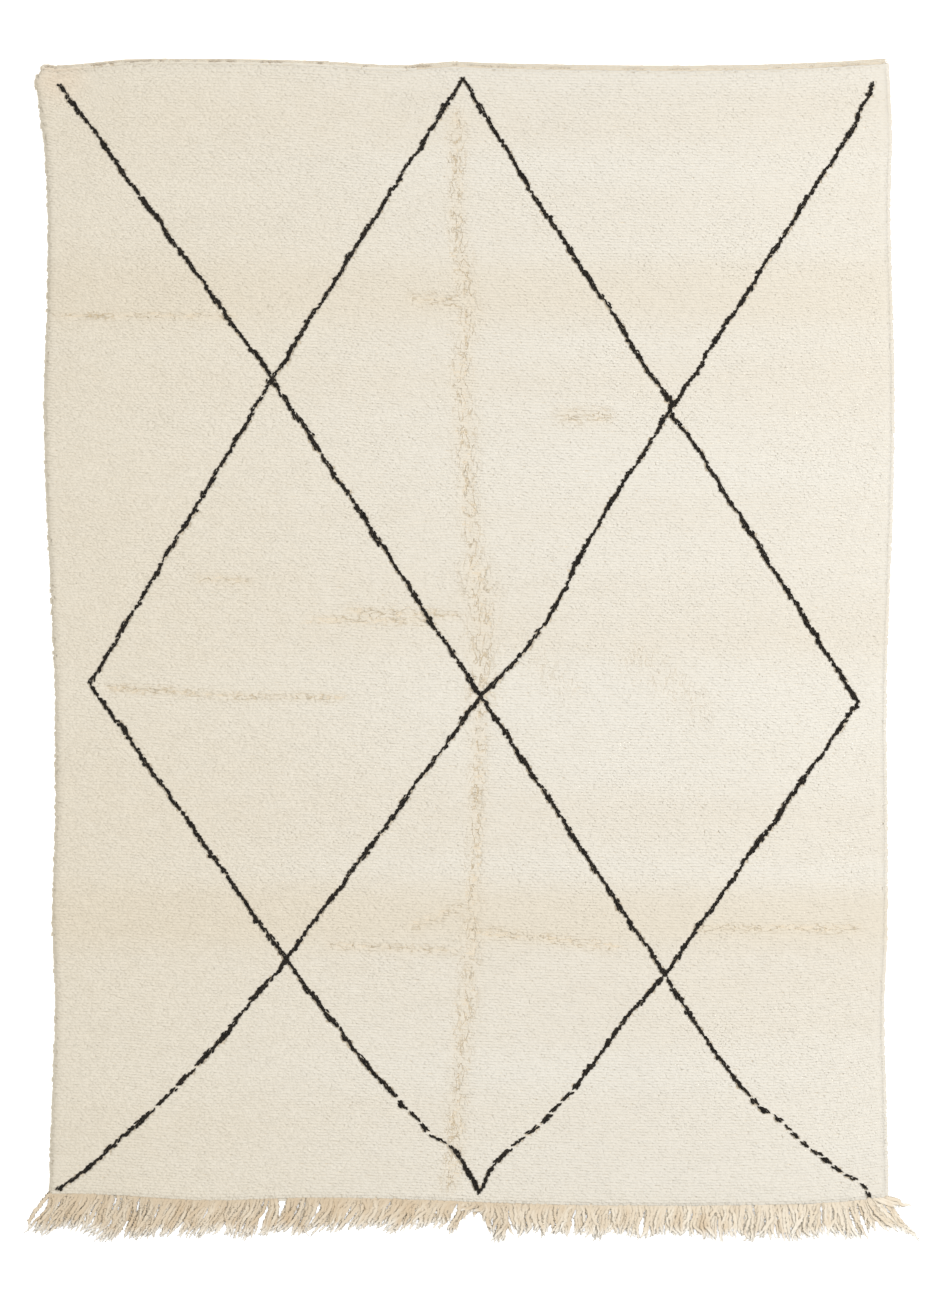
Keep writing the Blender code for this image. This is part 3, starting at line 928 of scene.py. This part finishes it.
luck = np.random.default_rng(90)
first = np.interp(LOW, side_places, left_side) + END_CLEAR
last = np.interp(LOW, side_places, right_side) - END_CLEAR
layers = [np.arange(first + 0.002 * i, last, pitch) for i, pitch in enumerate(LAYER_PITCHES)]
roots = np.concatenate(layers)
layer = np.concatenate([np.full(len(part), i) for i, part in enumerate(layers)])
count = len(roots)
roots = roots + luck.normal(0, 0.0012, count)
for opening in OPENINGS:
    aside = roots - opening.x
    bank = opening.x + np.sign(aside) * opening.width / 2
    roots = np.where(np.abs(aside) < opening.width / 2, bank, roots)

table_x = [row.x for row in WARPS]
lower = np.interp(roots, end_places, lower_end)
tips = np.interp(roots, table_x, [row.tip for row in WARPS])
leans = np.interp(roots, table_x, [row.lean for row in WARPS])
bundle = ((roots - first) / BUNDLE + luck.normal(0, 0.25, count)).astype(int).clip(0)
bundle_lean = luck.normal(0, 0.0040, bundle.max() + 2)
bundle_tip = luck.normal(0, 0.0065, bundle.max() + 2)
bundle_x = first + (bundle + 0.5) * BUNDLE
leans = leans + bundle_lean[bundle] + (bundle_x - roots) * luck.uniform(0, 0.5, count)
leans = leans + luck.normal(0, 0.0055, count) * (1 + layer)
tips = tips + bundle_tip[bundle] + np.abs(luck.normal(0, 0.0085, count)) - 0.009
in_corner = (layer > 1) & (roots > last - CORNER_WIDE)
tips = np.where(in_corner, CORNER_TIP + luck.normal(0, 0.004, count), tips)
leans = np.where(in_corner, CORNER_LEAN + luck.normal(0, 0.004, count), leans)
tips = np.maximum(tips, LONGEST_TIP)

t = section[:, 2][None, :]
around = np.arctan2(section[:, 1], section[:, 0])[None, :]
reach = (lower - tips)[:, None]
wave = (luck.uniform(0.0015, 0.0050, count) * (1 + 0.35 * layer))[:, None]
turns = luck.uniform(0.6, 1.5, bundle.max() + 2)[bundle][:, None]
phase = (luck.uniform(0, 6.3, bundle.max() + 2)[bundle] + luck.normal(0, 0.7, count))[:, None]
bow = (luck.normal(0, 0.0045, count) * (1 + 0.5 * layer))[:, None]
crimp = luck.uniform(0.0004, 0.0018, count)[:, None]
crimps = luck.uniform(3.0, 5.0, count)[:, None]
curve = luck.uniform(0.9, 1.6, count)
for opening in OPENINGS:
    beside = np.abs(roots - opening.x) < opening.width / 2 + BESIDE
    curve = np.where(beside, 2.2, curve)
    leans = np.where(beside, leans - np.sign(roots - opening.x) * opening.width * 0.45, leans)
curve = curve[:, None]


def strand_middle(t):
    """The middle of every warp end, this share of the way from the rug to its tip."""
    t = np.maximum(t, 0)
    x = roots[:, None] + leans[:, None] * t**curve + bow * np.sin(math.pi * t)
    x = x + wave * np.sin(phase + 2 * math.pi * turns * t) * np.sqrt(t)
    x = x + crimp * np.sin(phase * 2.3 + 2 * math.pi * crimps * t)
    y = lower[:, None] + TUCKED - (reach + TUCKED) * t
    y = y + wave * 0.6 * np.cos(phase * 1.7 + 2 * math.pi * turns * 1.3 * t) * t
    rest = YARN * FLATTENED * (1.05 + layer[:, None] * (0.95 + 0.35 * np.sin(phase + 5 * t)))
    z = rest + (LIFT - rest) * np.exp(-t * reach / FALL)
    return np.stack([x, y, z], 2)


centre = strand_middle(t)
forward = strand_middle(t + 0.01) - strand_middle(t - 0.01)
forward /= np.linalg.norm(forward, axis=2, keepdims=True)
side = np.stack([-forward[:, :, 1], forward[:, :, 0], np.zeros(forward.shape[:2])], 2)
side /= np.linalg.norm(side, axis=2, keepdims=True)
over = np.cross(forward, side)
spun = around + 2 * math.pi * t * reach / TWIST + phase
thick = YARN * (1 + 0.20 * np.cos(2 * around)) * luck.uniform(0.8, 1.2, (count, 1))
untwisted = np.clip((t - UNTWIST_FROM) / (1 - UNTWIST_FROM), 0, 1)
thick = thick * (1 - UNTWIST_THIN * untwisted**1.6)
outward = np.cos(spun)[:, :, None] * side + np.sin(spun)[:, :, None] * over
strand_points = centre + thick[:, :, None] * outward
strand_points[:, :, 2] = centre[:, :, 2] + (strand_points[:, :, 2] - centre[:, :, 2]) * FLATTENED
strand_points[:, :, 2] = np.maximum(strand_points[:, :, 2], LOWEST_YARN)

warp = Finish("warp_yarn", Roughness=0.9, Sheen_Weight=0.12, Specular_IOR_Level=0.25)
where = warp.places()
out = warp.mark("out")
fibre = warp.noise(where, 1400, (1, 5, 1), 3)
blotch = warp.noise(where, 45, (1, 2, 1), 3)
sideways = warp.between(warp.one_axis(where, "X"), -0.1, 0.6)
patch = warp.between(warp.noise(where, 16, (1, 1.5, 1)), 0.50, 0.68)
darker = warp.mixed(sideways, *DARKER_YARN)
paler = warp.mixed(sideways, *PALER_YARN)
colour = warp.mixed(warp.mark("lot"), darker, paler)
soiled = warp.between(blotch, 0.45, 0.75) * 0.30 + patch * 0.45
colour = warp.mixed(soiled, colour, SOILED_YARN)
# partly the yarn's own darker root, partly painted shade under the pile's edge: darker towards the
# root
colour = warp.mixed(warp.between(out, 0.0, 0.35) * 0.6 + 0.4, darker, colour)
colour = warp.mixed(warp.between(out, 0.66, 1.0) * 0.75, colour, TIP_COLOUR)
warp.give("Base Color", colour)
warp.give("Roughness", fibre * 0.15 + 0.80)
warp.relief(fibre, 0.0006, 0.4, soft=0.85)
lot = luck.uniform(0, 1, (count, 1))
fringe = copies("warp_fringe_yarns", strand, strand_points, warp, out=t, lot=lot)
bpy.data.objects.remove(strand)
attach(fringe, "root")
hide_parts("warp_fringe")
